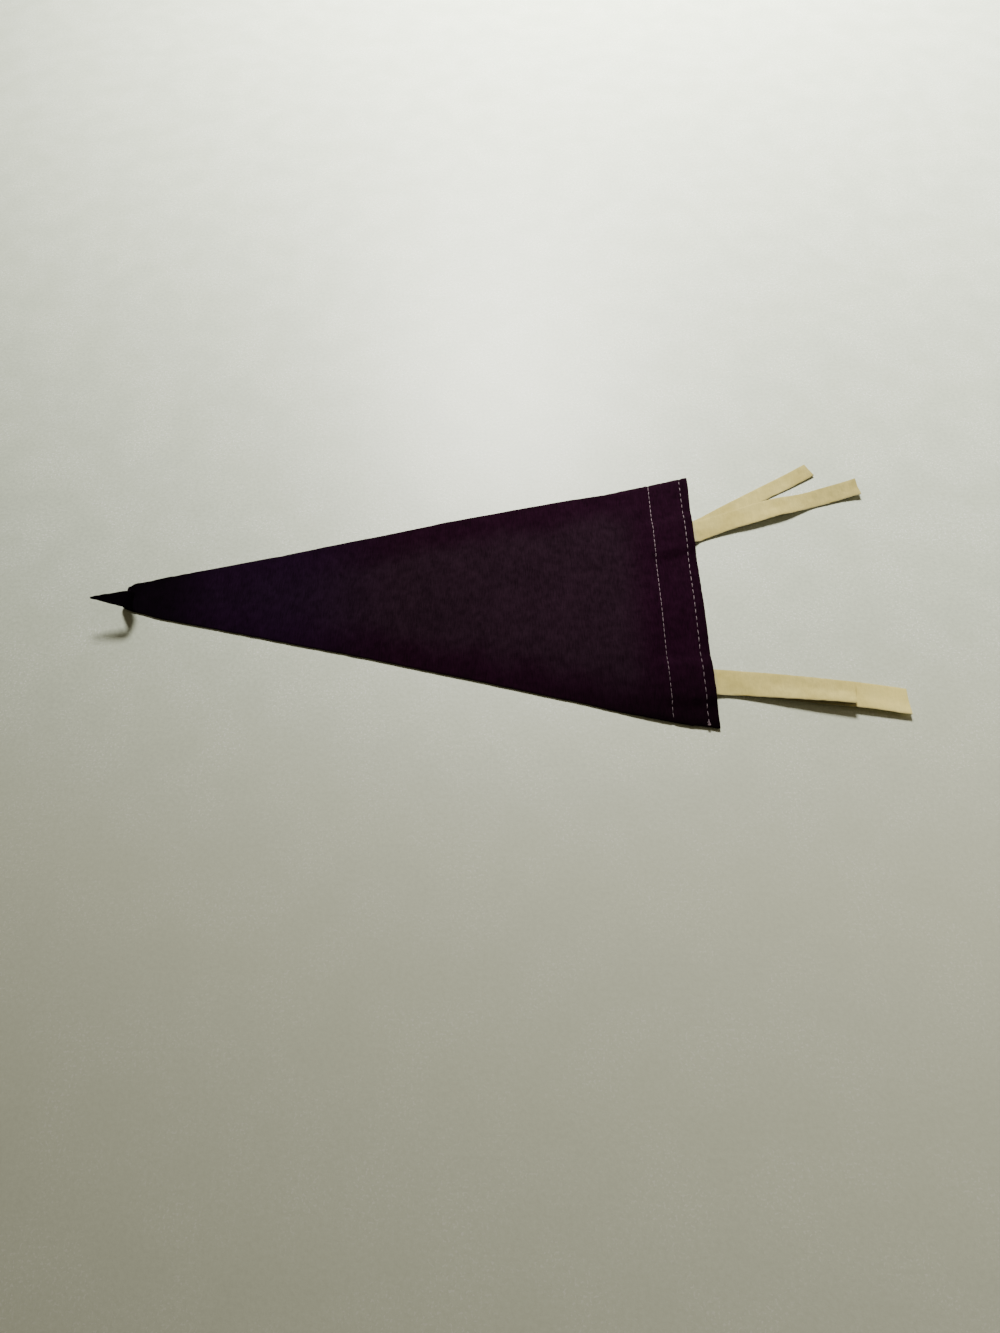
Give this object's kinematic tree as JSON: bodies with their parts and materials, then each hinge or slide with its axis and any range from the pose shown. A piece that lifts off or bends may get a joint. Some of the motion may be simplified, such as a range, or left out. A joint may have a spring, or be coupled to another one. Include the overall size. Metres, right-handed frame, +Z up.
{
  "type": "felt pennant",
  "caption": "Small triangular felt pennant lying flat with a creased, raised tip, a sewn header strip and folded felt ties along its straight edge.",
  "frame": {"origin": "bottom centre of the bounding box, on the surface that the pennant lies on", "axes": "+X from the tip toward the header and the ties, +Y along the header edge, +Z up from the surface"},
  "size_m": [0.2702, 0.1086, 0.0123],
  "materials": {
    "dark_felt": "matte",
    "cream_felt": "matte"
  },
  "bodies": {
    "root": {"pennant_felt": "dark_felt", "header_strip": "dark_felt", "tie_far": "cream_felt", "tie_near": "cream_felt"}
  },
  "joints": []
}
